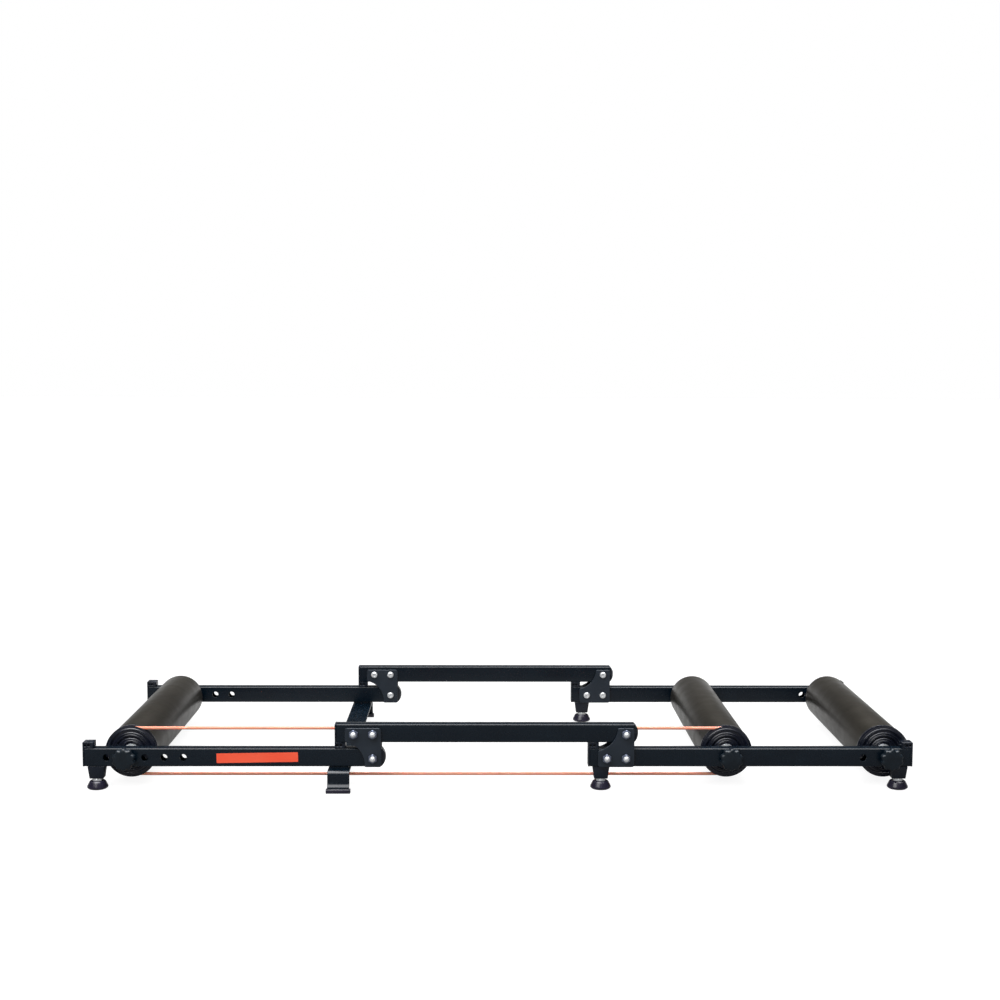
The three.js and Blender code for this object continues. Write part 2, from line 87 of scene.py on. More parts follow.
# Camera, fitted to the photograph, and its lens in pixels of a 1000 pixel frame
CAMERA_PLACE = (-29.9, -2574.0, 660.1)
CAMERA_YAW = math.radians(0.682)
CAMERA_PITCH = math.radians(4.97)
CAMERA_ROLL = math.radians(0.182)
CAMERA_CLIP = (0.1, 100)
FOCAL_PIXELS = 1515.5
FRAME_PIXELS = 1000
SENSOR = 36

# Rails, their plugs and holes, and the feet that stand under each section
RAIL_WALL = 1.8
RAIL_CORNER = 1.8
HOLLOW_CORNER = 0.6
NOSE_BULGE = 7
NOSE_SKIRT = 14
NOSE_FIT = 0.3
NOSE_STEPS = 9
HOLE_EDGE = 0.35
AXLE_HOLE = 5.4
BOLT_HOLE = 4.4
NECK_HOLE = 6.4
HOLE_PITCH = 30
HOLE_COUNT = 5
SPARE_HOLE_AHEAD = 42.3
BOLT_SPACING = 30
FEET = {"front": ("front",), "middle": (), "rear": ("hinge", "rear")}

# Hinge plates and bolts; a nut's foot and crown are (how far in, how far up or down) of its bevels
PLATE_CORNER = 4.5
PLATE_FOOT_CORNER = 3
RELIEF_CORNER = 3
RELIEF_BACK = 50.5
RELIEF_DROP = 10.75
RELIEF_RADIUS = 38
RELIEF_STEPS = 28
PLATE_EDGE = 1
BOLT_RADIUS = 4
NUT_FLAT = 6.3
NUT_HEIGHT = 5.5
NUT_FOOT = (0.8, 0.5)
NUT_CROWN = (0.2, 0.8)
DOME_RADIUS = 4.6
DOME_HEIGHT = 5
DOME_STEPS = 8
HEAD_RADIUS = 5.8
HEAD_HEIGHT = 4.3
HEAD_RIM = 0.8
HEAD_LIP = 0.6
HEAD_STEPS = 7
SOCKET_RADIUS = 2.6
SOCKET_DEPTH = 2.2
SOCKET_CHAMFER = 0.3

# Blank strip on the near front rail
LABEL_START = 209.3
LABEL_LENGTH = 127.4
LABEL_HEIGHT = 15.3
LABEL_THICKNESS = 0.25
LABEL_CORNER = 1.2
LABEL_TILT = math.radians(0.9)

# End caps: (cap, section, the way it stands up, the end of the rail it closes), and its recesses
CAPS = (("front_end_cap", "front", 1, -1), ("middle_stub_cap", "middle", -1, -1),
        ("rear_hinge_cap", "rear", 1, -1), ("rear_end_cap", "rear", 1, 1))
CAP_EDGE = 0.5
RECESS_SIZE = 3.4
RECESS_FLARE = 0.7
RECESS_DEPTH = 5
RECESS_INSETS = (4.2, 9.8)
RECESS_RISE = 4.9

# Stand
SPACER_HEIGHT = 3
SPACER_HALF = 15
SPACER_INSET = 1.5
SPACER_CORNER = 0.6
STAND_THICKNESS = 3
STAND_FLARE = 5
FLARE_TOP = 14
FLARE_BOTTOM = 8
STAND_BEND = 9
FLARE_BEND = 3
GROOVE_HALF = 4.5
GROOVE_SLOPE = 1
GROOVE_DEPTH = 1.2
GROOVE_SHORT = 32
GROOVE_RUN_OUT = 9
STAND_EDGE = 0.5
SHOE_EDGE = 0.7

# Levelling feet; the pad's outline is (radius, height, rounding)
PAD_HEIGHT = 13
PAD_RECESS = 0.8
PAD = ((0, 0), (13.8, 0, 1), (16.4, 2.3, 1), (16.2, 4, 1.2), (12.5, 11.6, 1.2), (10.4, PAD_HEIGHT, 1),
       (8.4, PAD_HEIGHT, 0.4), (8, PAD_HEIGHT - PAD_RECESS), (0, PAD_HEIGHT - PAD_RECESS))
JAM_NUT_FLAT = 6.9
JAM_NUT_HEIGHT = 3.7
JAM_NUT_CHAMFER = (0.9, 0.6)
STUD_RADIUS = 4
THREAD_PITCH = 1.25
THREAD_DEPTH = 0.55
THREAD_STEPS = 4

# Drums and their caps: the hub of a cap's face is (radius, depth) points and a rib (form, inner
# radius, outer radius, depth). A bead's flanks are (width, rounding), the belt groove's flank is
# (rise from the root, half the width there, rounding) and its root (half its width, rounding).
DRUM_WALL = 2.5
DRUM_INNER_ROUND = 0.4
DRUM_OUTER_ROUND = 0.8
PLAIN_RIM = 39.6
FLANGE_RISE = 1
CAP_BORE = 13.3
CAP_PLUG = 37.2
CAP_PLUG_DEPTH = 8
CAP_ROUND = 0.3
CAP_PLUG_ROUND = 0.6
PULLEY_WIDTH = 11.5
PLAIN_WIDTH = 3.7
BEAD_CREST = 0.1
BEAD_INNER = (0.6, 1)
BEAD_OUTER = (1, 1.4)
CAP_HUB = ((CAP_BORE, 2.4), (12.4, 2.4), (12.4, 2.1), (15.4, 2.1))
CAP_RIBS = (("bead", 15.7, 18.7, 1.3), ("bead", 18.9, 22, 1.3), ("channel", 22.3, 24.5, 3.8),
            ("bead", 24.8, 27.9, 1.3), ("bead", 28.1, 31.2, 1.3), ("channel", 31.5, 33.9, 2.4),
            ("bead", 34.2, 37.5, 1.1))
CAP_RIM_DEPTHS = (1.1, 1.2)
BELT_GROOVE_HALF = 3.5
BELT_GROOVE_GAP = 0.4
BELT_GROOVE_FLANK = (3.2, 2.9, 1.5)
BELT_GROOVE_ROOT = (2.3, 1.6)

# Bearings: radii of the inner and the outer race, the roundings of bore, edges and rim, the shield
# between them and its ridge, which is (radius, depth, rounding)
BEARING_RECESS = 2.5
BEARING_WIDTH = 8
BEARING_RADIUS = 13
RACE_EDGES = (7.3, 10.9)
RACE_LEDGES = (7.6, 10.6)
LEDGE_DEPTH = 0.7
RACE_ROUNDS = (0.4, 0.2, 0.5)
SHIELD_EDGES = (7.7, 10.5)
SHIELD_DEPTH = 0.5
SHIELD_RIDGE = (8.4, 0.3, 0.3)

# Axles, their spacers and lock nuts, whose chamfer is (how far in, how high), and knobs: the crown is
# (radius, distance below the top, rounding), the skirt and the foot (radius, height, rounding)
AXLE_RADIUS = 5
AXLE_ROUND = 0.8
SPACER_RADIUS = 7.5
SPACER_ROUNDS = (0.5, 0.3)
LOCK_NUT_FLAT = 8.4
LOCK_NUT_WIDTH = 8
LOCK_NUT_CHAMFER = (1.1, 0.8)
KNOB_BORE = AXLE_RADIUS + 0.4
KNOB_BORE_DEPTH = 14
KNOB_NECK = 5
KNOB_LOBES = 10
KNOB_LOBE_DEPTH = 1.2
KNOB_LOBE_START = 11
KNOB_RADIUS = 16.8
KNOB_CROWN = ((0, 0), (6, 0, 3), (14.2, 1.2, 1.5), (KNOB_RADIUS, 3.2, 1.8))
KNOB_SKIRT = ((KNOB_RADIUS, 1.8, 1.4), (15, 0, 1), (9.4, 0, 0.8))
KNOB_FOOT = ((9, 0, 0.5), (KNOB_BORE, 0, 0.4))

# Belt
BELT_RADIUS = 2.5
BELT_SIDES = 14
BELT_RUN_STEPS = 150
BELT_ARC_STEPS = 40

# What glossy surfaces see: (sine of the elevation, strength) from the wall up to the ceiling
REFLECTED = ((0, 0.8), (0.05, 0.7), (0.1, 0.35), (0.15, 0.12), (0.21, 0.05), (0.45, 0.05),
             (0.72, 0.3), (0.84, 3), (0.92, 9), (1, 12))
CEILING = 12
AMBIENT = 0.7

# Floor: its reach, what it sends back, how bright the camera sees it, and the glow that glossy
# surfaces see in it, which grows along Y over a span
FLOOR_REACH = 30
FLOOR_ALBEDO = 0.22
FLOOR_ROUGHNESS = 0.9
FLOOR_SPECULAR = 0.1
FLOOR_WHITE = 0.88
FLOOR_GLOW = 0.7
FLOOR_GLOW_SPAN = (-0.3, 0.6)

# Lamps: name, place, size and power in watts
LAMPS = (("key", (-1.2, -1.8, 2.6), 2.2, 75), ("top", (0.6, 0.9, 3.0), 2.4, 45))

# Facets of turned pieces
DRUM_FACETS = 112
CAP_FACETS = 112
SMALL_FACETS = 48
FOOT_FACETS = 56
KNOB_FACETS = 112
THREAD_FACETS = 24

# The part of a noise texture's values that a finish uses, and the sockets of a colour mix
CLOUD_RANGE = (0.35, 0.65)
MIX_FACTOR, MIX_DARK, MIX_LIGHT, MIX_RESULT = 0, 6, 7, 2


def low(node):
    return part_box(node)[0] / MM


def high(node):
    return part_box(node)[1] / MM


def middle(node):
    return (low(node) + high(node)) / 2


# Shapes: points in millimetres and the faces between them
class Shape:
    def __init__(self, points=(), faces=()):
        self.points = [Vector(point) for point in points]
        self.faces = [list(face) for face in faces]

    def add(self, *others):
        for other in others:
            start = len(self.points)
            self.points += other.points
            self.faces += [[start + i for i in face] for face in other.faces]
        return self

    def changed(self, change):
        return Shape([change(*point) for point in self.points], self.faces)

    def moved(self, x, y, z):
        return self.changed(lambda px, py, pz: (px + x, py + y, pz + z))


def soft(points, closed=True, steps=4):
    """An outline whose (x, y, rounding) corners are rounded; its (x, y) corners stay sharp."""
    outline = []
    for i, point in enumerate(points):
        here = Vector(point[:2])
        inner = closed or 0 < i < len(points) - 1
        if len(point) < 3 or not inner:
            outline.append(here)
            continue
        before = Vector(points[i - 1][:2]) - here
        after = Vector(points[(i + 1) % len(points)][:2]) - here
        start = here + before.normalized() * min(point[2], before.length / 2)
        end = here + after.normalized() * min(point[2], after.length / 2)
        for k in range(steps + 1):
            t = k / steps
            outline.append(start * (1 - t) ** 2 + here * 2 * t * (1 - t) + end * t ** 2)
    return outline


def rectangle(left, right, bottom, top, corner):
    """The outline of a rectangle with rounded corners."""
    return soft([(left, bottom, corner), (right, bottom, corner), (right, top, corner),
                 (left, top, corner)])


def loft(rings):
    """Rings with as many points each, joined in their order and closed at both ends."""
    count = len(rings[0])
    points = [point for ring in rings for point in ring]
    faces = [list(range(count)), list(range(len(points) - count, len(points)))]
    for row in range(len(rings) - 1):
        for i in range(count):
            j = (i + 1) % count
            start = row * count
            faces.append([start + i, start + j, start + count + j, start + count + i])
    return Shape(points, faces)


def prism(outline, start, end):
    """An outline in X and Z between two values of Y."""
    return loft([[(x, y, z) for x, z in outline] for y in (start, end)])


def lathe(profile, facets, closed=False, reach=None):
    """(radius, height) points turned about Z; reach(radius, height, angle) bends the circle."""
    points = []
    rings = []
    for radius, height in profile:
        start = len(points)
        if radius == 0:
            points.append((0, 0, height))
            rings.append([start] * facets)
            continue
        for i in range(facets):
            angle = 2 * math.pi * i / facets
            out = reach(radius, height, angle) if reach else radius
            points.append((out * math.cos(angle), out * math.sin(angle), height))
        rings.append(list(range(start, start + facets)))
    if closed:
        rings.append(rings[0])
    faces = []
    for lower, upper in zip(rings, rings[1:]):
        for i in range(facets):
            j = (i + 1) % facets
            face = list(dict.fromkeys((lower[i], lower[j], upper[j], upper[i])))
            if len(face) > 2:
                faces.append(face)
    return Shape(points, faces)


def rod(radius, length):
    """A plain round rod along Z."""
    return lathe([(0, 0), (radius, 0), (radius, length), (0, length)], SMALL_FACETS)


def along_y(shape, side=1):
    """A shape turned about Z, laid along Y so that its top points to one side."""
    return shape.changed(lambda x, y, z: (x, side * z, y))


def hexagon(flat):
    """The reach of a hexagon prism with that distance to its flats, cut by the turned profile."""
    sixth = math.pi / 3

    def reach(radius, height, angle):
        return min(radius, flat / math.cos((angle + sixth / 2) % sixth - sixth / 2))

    return reach


def plain_nut(bore, flat, start, end, chamfer):
    """A hexagon nut between two heights; chamfer is (how far in, how high) of its bevels."""
    corner = flat / HEX_SHARE
    inset, rise = chamfer
    profile = [(bore, start), (corner - inset, start), (corner, start + rise), (corner, end - rise),
               (corner - inset, end), (bore, end)]
    return lathe(profile, SMALL_FACETS, closed=True, reach=hexagon(flat))


def mesh_of(source):
    """The mesh of a shape; a mesh is given back as it is."""
    if not isinstance(source, Shape):
        return source
    mesh = bpy.data.meshes.new("shape")
    mesh.from_pydata([point * MM for point in source.points], [], source.faces)
    shell = bmesh.new()
    shell.from_mesh(mesh)
    bmesh.ops.recalc_face_normals(shell, faces=shell.faces)
    shell.to_mesh(mesh)
    shell.free()
    return mesh


def added(name, data):
    """A new object in the scene."""
    made = bpy.data.objects.new(name, data)
    bpy.context.scene.collection.objects.link(made)
    return made


def settled(made, *tools):
    """The mesh of an object with its modifiers applied; it and its tools leave the scene."""
    graph = bpy.context.evaluated_depsgraph_get()
    mesh = bpy.data.meshes.new_from_object(made.evaluated_get(graph))
    for spent in (made, *tools):
        bpy.data.objects.remove(spent)
    return mesh


def carved(source, cutters, solver="EXACT"):
    """The mesh of a shape, or a mesh, with the cutters taken away from it."""
    body = added("carved", mesh_of(source))
    tool = added("cutter", mesh_of(cutters))
    cut = body.modifiers.new("cut", "BOOLEAN")
    cut.operation = "DIFFERENCE"
    cut.solver = solver
    cut.object = tool
    return settled(body, tool)


# Finishes: each has colour, roughness and relief that vary over the surface
def srgb(red, green, blue):
    """A display colour, 0 to 255, as linear light."""
    shares = [level / 255 for level in (red, green, blue)]
    return [s / 12.92 if s <= 0.04045 else ((s + 0.055) / 1.055) ** 2.4 for s in shares] + [1]


def map_range(nodes, from_min, from_max, to_min, to_max):
    made = nodes.new("ShaderNodeMapRange")
    for name, value in (("From Min", from_min), ("From Max", from_max),
                        ("To Min", to_min), ("To Max", to_max)):
        made.inputs[name].default_value = value
    return made


class Finish:
    def __init__(self, name, **sockets):
        self.name = name
        self.material = bpy.data.materials.new(name)
        self.material.use_nodes = True
        self.nodes = self.material.node_tree.nodes
        self.links = self.material.node_tree.links
        self.shader = self.nodes["Principled BSDF"]
        self.relief = None
        for socket, value in sockets.items():
            self.shader.inputs[socket.replace("_", " ")].default_value = value

    def clouds(self, size, detail, stretch=(1, 1, 1)):
        """Soft spots about that many millimetres across, longer along an axis that is stretched."""
        place = self.nodes.new("ShaderNodeTexCoord")
        scale = self.nodes.new("ShaderNodeMapping")
        noise = self.nodes.new("ShaderNodeTexNoise")
        scale.inputs["Scale"].default_value = [1 / (size * MM * share) for share in stretch]
        noise.inputs["Scale"].default_value = 1
        noise.inputs["Detail"].default_value = detail
        self.links.new(place.outputs["Object"], scale.inputs["Vector"])
        self.links.new(scale.outputs["Vector"], noise.inputs["Vector"])
        return noise.outputs["Fac"]

    def between(self, value, start, end):
        """A number that goes from start to end as the clouds go from dark to light."""
        spread = map_range(self.nodes, *CLOUD_RANGE, start, end)
        self.links.new(value, spread.inputs["Value"])
        return spread.outputs["Result"]

    def colours(self, value, dark, light):
        mix = self.nodes.new("ShaderNodeMix")
        mix.data_type = "RGBA"
        mix.inputs[MIX_DARK].default_value = srgb(*dark)
        mix.inputs[MIX_LIGHT].default_value = srgb(*light)
        self.links.new(self.between(value, 0, 1), mix.inputs[MIX_FACTOR])
        self.links.new(mix.outputs[MIX_RESULT], self.shader.inputs["Base Color"])

    def roughness(self, value, smooth, rough):
        self.links.new(self.between(value, smooth, rough), self.shader.inputs["Roughness"])

    def bump(self, value, depth):
        """Relief that many millimetres deep, on top of the relief made before."""
        bump = self.nodes.new("ShaderNodeBump")
        bump.inputs["Strength"].default_value = 1
        bump.inputs["Distance"].default_value = depth * MM
        self.links.new(value, bump.inputs["Height"])
        if self.relief:
            self.links.new(self.relief, bump.inputs["Normal"])
        self.relief = bump.outputs["Normal"]
        self.links.new(self.relief, self.shader.inputs["Normal"])


def powder_coat(name, dark, light, specular, smooth, rough):
    """Satin powder paint: orange peel over a fine grain, a little uneven in gloss."""
    finish = Finish(name, Specular_IOR_Level=specular)
    finish.colours(finish.clouds(size=46, detail=4), dark, light)
    finish.roughness(finish.clouds(size=15, detail=5), smooth, rough)
    finish.bump(finish.clouds(size=3, detail=2), depth=0.005)
    finish.bump(finish.clouds(size=0.8, detail=1), depth=0.0015)
    return finish


def moulded(name, dark, light, specular, smooth, rough, grain):
    """Moulded plastic or rubber with a fine spark-eroded grain."""
    finish = Finish(name, Specular_IOR_Level=specular)
    finish.colours(finish.clouds(size=22, detail=3), dark, light)
    finish.roughness(finish.clouds(size=7, detail=4), smooth, rough)
    finish.bump(finish.clouds(size=0.7, detail=2), depth=grain)
    return finish


def drum_alloy():
    """Dark anodised tube, turned and polished, a little uneven in colour and gloss."""
    finish = Finish("drum_alloy", Metallic=0.55, Specular_IOR_Level=0.3)
    finish.colours(finish.clouds(size=60, detail=4, stretch=(1, 3, 1)), (48, 45, 40), (56, 53, 47))
    finish.roughness(finish.clouds(size=26, detail=4), smooth=0.33, rough=0.4)
    finish.bump(finish.clouds(size=12, detail=2), depth=0.004)
    return finish


def plated(name, metallic, dark, light, smooth, rough):
    """Bright plated or ground steel with a faint uneven lustre; the darkened copy used on the nuts is
    painted shade.
    """
    finish = Finish(name, Metallic=metallic)
    finish.colours(finish.clouds(size=3.5, detail=3), dark, light)
    finish.roughness(finish.clouds(size=1.8, detail=4), smooth, rough)
    finish.bump(finish.clouds(size=0.6, detail=2), depth=0.008)
    return finish


def belt_cord():
    """Glossy orange polyurethane that lets a little light through."""
    finish = Finish("belt_rubber", Subsurface_Weight=0.45, Subsurface_Scale=3 * MM)
    spots = finish.clouds(size=60, detail=2, stretch=(6, 1, 1))
    finish.colours(spots, (254, 164, 134), (255, 173, 146))
    finish.roughness(finish.clouds(size=20, detail=3, stretch=(4, 1, 1)), smooth=0.36, rough=0.46)
    finish.bump(finish.clouds(size=3, detail=2, stretch=(8, 1, 1)), depth=0.002)
    return finish


def label_vinyl():
    """Plain orange-red vinyl, slightly faded and uneven."""
    finish = Finish("label_vinyl", Specular_IOR_Level=0.35)
    finish.colours(finish.clouds(size=35, detail=4, stretch=(2, 1, 1)), (253, 90, 60), (255, 101, 70))
    finish.roughness(finish.clouds(size=10, detail=4), smooth=0.34, rough=0.5)
    finish.bump(finish.clouds(size=1.4, detail=3), depth=0.012)
    return finish


FINISHES = {finish.name: finish.material for finish in (
    powder_coat("frame_paint", (3, 15, 26), (6, 20, 31), 0.32, 0.24, 0.3),
    powder_coat("plate_paint", (30, 38, 47), (37, 45, 55), 0.35, 0.36, 0.46),
    moulded("cap_plastic", (10, 18, 30), (15, 24, 37), 0.36, 0.26, 0.34, 0.008),
    drum_alloy(),
    moulded("drum_cap_plastic", (16, 20, 32), (23, 27, 41), 0.55, 0.18, 0.24, 0.003),
    moulded("knob_plastic", (10, 20, 28), (16, 27, 36), 0.32, 0.32, 0.42, 0.02),
    plated("zinc", 0.5, (222, 225, 228), (240, 242, 243), 0.3, 0.42),
    # The nut hexagons are the zinc darkened to a dull blue-grey: painted shade for the dark
    # reflections in their faces.
    plated("zinc_painted_shade", 0.5, (92, 99, 118), (116, 124, 144), 0.26, 0.36),
    plated("bearing_steel", 0.6, (206, 209, 211), (230, 232, 234), 0.36, 0.46),
    moulded("foot_rubber", (29, 27, 42), (39, 37, 54), 0.5, 0.2, 0.28, 0.01),
    belt_cord(),
    label_vinyl(),
)}


def bevelled(made, width):
    bevel = made.modifiers.new("edges", "BEVEL")
    bevel.width = width * MM
    bevel.segments = BEVEL_SEGMENTS
    bevel.limit_method = "ANGLE"
    bevel.angle_limit = BEVEL_ANGLE
    bevel.harden_normals = True
    return bevel


def shown(name, source, finish):
    """A shape or a mesh as a smooth object in its finish."""
    mesh = mesh_of(source)
    mesh.name = name
    mesh.materials.clear()
    mesh.materials.append(FINISHES[finish])
    mesh.shade_smooth()
    return added(name, mesh)


def piece(name, source, nodes, finish, edge=0, body=None):
    """A piece that stands for CAD nodes and rides on their body."""
    made = shown(name, source, finish)
    made.data.set_sharp_from_angle(angle=SHARP_ANGLE)
    if edge:
        bevelled(made, edge)
    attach(made, body or frame["nodes"][nodes[0]]["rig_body"])
    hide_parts(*nodes)


def softened(node, edge):
    """A CAD node's own shape as a mesh with soft edges."""
    source = frame["nodes"][node]
    copy = added("softened", source.data.copy())
    copy.data.transform(source.matrix_world)
    weld = copy.modifiers.new("weld", "WELD")
    weld.merge_threshold = MERGE * MM
    merge = copy.modifiers.new("merge", "DECIMATE")
    merge.decimate_type = "DISSOLVE"
    merge.angle_limit = FLAT_ANGLE
    bevelled(copy, edge).use_clamp_overlap = False
    return settled(copy)


# Rails
def rail_section(start, end, trim, corner):
    """A rounded rectangle in Y and Z, trim millimetres inside the rail's outside."""
    return rectangle(start.y + trim, end.y - trim, start.z + trim, end.z - trim, corner)


def hollow_tube(start, end):
    outer = rail_section(start, end, 0, RAIL_CORNER)
    inner = rail_section(start, end, RAIL_WALL, HOLLOW_CORNER)
    count = len(outer)
    loops = [(end.x, outer), (start.x, outer), (start.x, inner), (end.x, inner)]
    points = [(x, y, z) for x, section in loops for y, z in section]
    faces = []
    for row in range(len(loops)):
        following = (row + 1) % len(loops)
        for i in range(count):
            j = (i + 1) % count
            faces.append([row * count + i, row * count + j,
                          following * count + j, following * count + i])
    return Shape(points, faces)


def cross_hole(x, radius, start, end):
    drill = along_y(rod(radius, end.y - start.y + 2 * OVERRUN))
    return drill.moved(x, start.y - OVERRUN, (start.z + end.z) / 2)


def neck_hole(x, start, end):
    drill = rod(NECK_HOLE, RAIL_WALL + 2 * OVERRUN)
    return drill.moved(x, (start.y + end.y) / 2, start.z - OVERRUN)


def nose(start, end):
    """A plug in the tube's end that swells out in a dome over the whole section."""
    half = (end.z - start.z) / 2
    radius = (half ** 2 + NOSE_BULGE ** 2) / (2 * NOSE_BULGE)
    face = end.x - NOSE_BULGE
    centre_y = (start.y + end.y) / 2
    centre_z = (start.z + end.z) / 2
    skirt = rail_section(start, end, RAIL_WALL + NOSE_FIT, HOLLOW_CORNER)
    lip = rail_section(start, end, 0, RAIL_CORNER)
    rings = [[(x, y, z) for y, z in skirt] for x in (face - NOSE_SKIRT, face + NOSE_FIT / 2)]
    rings.append([(face + NOSE_FIT / 2, y, z) for y, z in lip])
    for k in range(1, NOSE_STEPS):
        share = math.cos(math.pi / 2 * k / NOSE_STEPS)
        x = face + math.sqrt(radius ** 2 - (half * share) ** 2) - radius + NOSE_BULGE
        rings.append([(x, centre_y + (y - centre_y) * share, centre_z + (z - centre_z) * share)
                      for y, z in lip])
    return loft(rings)


def rail_holes(section, label):
    """Where a rail is drilled across: (x, radius) pairs."""
    if section == "front":
        first = middle("front_axle").x - HOLE_PITCH
        row = [(first + i * HOLE_PITCH, AXLE_HOLE) for i in range(HOLE_COUNT)]
        return row + [(middle(f"front_pivot_bolt_{label}").x, BOLT_HOLE)]
    front_pivot = middle(f"front_pivot_bolt_{label}").x
    rear_pivot = middle(f"rear_pivot_bolt_{label}").x
    if section == "middle":
        return [(x, BOLT_HOLE) for x in (front_pivot - BOLT_SPACING, front_pivot, rear_pivot)]
    rear_axle = middle("rear_axle").x
    axles = [middle("middle_axle").x, rear_axle - SPARE_HOLE_AHEAD, rear_axle]
    bolts = [rear_pivot - BOLT_SPACING, rear_pivot]
    return [(x, AXLE_HOLE) for x in axles] + [(x, BOLT_HOLE) for x in bolts]


def make_rail(section, label):
    """A drilled tube, and the rounded plug in its rear end if it has one."""
    node = f"{section}_rail_{label}"
    start, end = low(node), high(node)
    nosed = section != "rear"
    tube_end = Vector((end.x - NOSE_BULGE, end.y, end.z)) if nosed else end
    cutters = Shape()
    for x, radius in rail_holes(section, label):
        cutters.add(cross_hole(x, radius, start, end))
    for foot in FEET[section]:
        cutters.add(neck_hole(middle(f"{foot}_foot_{label}").x, start, end))
    mesh = carved(hollow_tube(start, tube_end), cutters)
    piece(f"{node}_tube", mesh, [node], "frame_paint", HOLE_EDGE)
    if nosed:
        piece(f"{node}_nose", nose(start, end), [node], "cap_plastic", HOLE_EDGE)


# End caps
def make_cap(name, section, label, up, end):
    """A cap in its CAD shape with soft edges, and two deep flared recesses in each side."""
    node = f"{name}_{label}"
    start, stop = low(node), high(node)
    rail_top = high(f"{section}_rail_{label}").z if up > 0 else low(f"{section}_rail_{label}").z
    centre_z = rail_top + up * RECESS_RISE
    tip = start.x if end < 0 else stop.x
    cutters = Shape()
    for inset in RECESS_INSETS:
        x = tip - end * inset
        for face, inwards in ((start.y, 1), (stop.y, -1)):
            rings = []
            for depth in (-OVERRUN, RECESS_FLARE, RECESS_DEPTH):
                half = RECESS_SIZE / 2 + max(0, RECESS_FLARE - depth)
                rings.append([(x + i * half, face + inwards * depth, centre_z + k * half)
                              for i, k in ((-1, -1), (1, -1), (1, 1), (-1, 1))])
            cutters.add(loft(rings))
    mesh = carved(softened(node, CAP_EDGE), cutters, "MANIFOLD")
    piece(f"{node}_body", mesh, [node], "cap_plastic")


# Hinges
def plate_outline(pivot, plate_low, plate_high, up):
    """X and Z of a plate: rounded corners and the arc that clears a foot when folded."""
    back, front = plate_low.x, plate_high.x
    near = plate_low.z if up > 0 else plate_high.z
    far = plate_high.z if up > 0 else plate_low.z
    centre_x = pivot.x - RELIEF_BACK
    centre_z = pivot.z - up * RELIEF_DROP
    reach = abs(near - centre_z)
    start = math.acos((back - centre_x) / RELIEF_RADIUS)
    end = math.asin(min(1, reach / RELIEF_RADIUS)) * (1 if up * (near - centre_z) > 0 else -1)
    trim = RELIEF_CORNER / RELIEF_RADIUS
    arc = []
    for k in range(RELIEF_STEPS + 1):
        angle = start - trim + (end - start + 2 * trim) * k / RELIEF_STEPS
        x = centre_x + RELIEF_RADIUS * math.cos(angle)
        z = centre_z + up * RELIEF_RADIUS * math.sin(angle)
        arc.append((x, z))
    top = (back, centre_z + up * RELIEF_RADIUS * math.sin(start), RELIEF_CORNER)
    bottom = (centre_x + RELIEF_RADIUS * math.cos(end), near, RELIEF_CORNER)
    return soft([bottom, (front, near, PLATE_FOOT_CORNER), (front, far, PLATE_CORNER),
                 (back, far, PLATE_CORNER), top] + arc)


def nut(y, side):
    """The hexagon of a domed nut, from a face at y outwards."""
    corner = NUT_FLAT / HEX_SHARE
    foot_in, foot_up = NUT_FOOT
    crown_in, crown_down = NUT_CROWN
    profile = [(BOLT_RADIUS, 0), (corner - foot_in, 0), (corner, foot_up),
               (corner, NUT_HEIGHT - crown_down), (NUT_FLAT - crown_in, NUT_HEIGHT),
               (BOLT_RADIUS, NUT_HEIGHT)]
    hexagonal = lathe(profile, SMALL_FACETS, closed=True, reach=hexagon(NUT_FLAT))
    return along_y(hexagonal, side).moved(0, y, 0)


def dome(y, side):
    """The dome of a nut that starts at y."""
    base = NUT_HEIGHT - SEAT
    profile = [(0, base), (DOME_RADIUS, base)]
    for k in range(DOME_STEPS):
        angle = math.pi / 2 * k / DOME_STEPS
        profile.append((DOME_RADIUS * math.cos(angle), NUT_HEIGHT + DOME_HEIGHT * math.sin(angle)))
    profile.append((0, NUT_HEIGHT + DOME_HEIGHT))
    return along_y(lathe(profile, SMALL_FACETS), side).moved(0, y, 0)


def head(y, side):
    """A button head with a hexagon socket, from a face at y inwards."""
    lip = SOCKET_RADIUS + HEAD_LIP
    floor = HEAD_HEIGHT - SOCKET_DEPTH
    profile = [(0, 0), (HEAD_RADIUS, 0)]
    for k in range(HEAD_STEPS):
        angle = math.pi / 2 * k / HEAD_STEPS
        profile.append((lip + (HEAD_RADIUS - lip) * math.cos(angle),
                        HEAD_RIM + (HEAD_HEIGHT - HEAD_RIM) * math.sin(angle)))
    profile += [(lip, HEAD_HEIGHT), (SOCKET_RADIUS, HEAD_HEIGHT - SOCKET_CHAMFER),
                (SOCKET_RADIUS, floor), (0, floor)]
    socket = hexagon(SOCKET_RADIUS * HEX_SHARE)

    def reach(radius, height, angle):
        return socket(radius, height, angle) if radius <= SOCKET_RADIUS else radius

    return along_y(lathe(profile, SMALL_FACETS, reach=reach), -side).moved(0, y, 0)


def bolt(x, z, outer_face, inner_face, side):
    """A bolt along Y with the dome of its nut on the outer face and its head on the inner one."""
    shank = along_y(rod(BOLT_RADIUS, abs(outer_face - inner_face)))
    shape = shank.moved(0, min(outer_face, inner_face), 0)
    shape.add(dome(outer_face, side), head(inner_face, side))
    return shape.moved(x, 0, z)


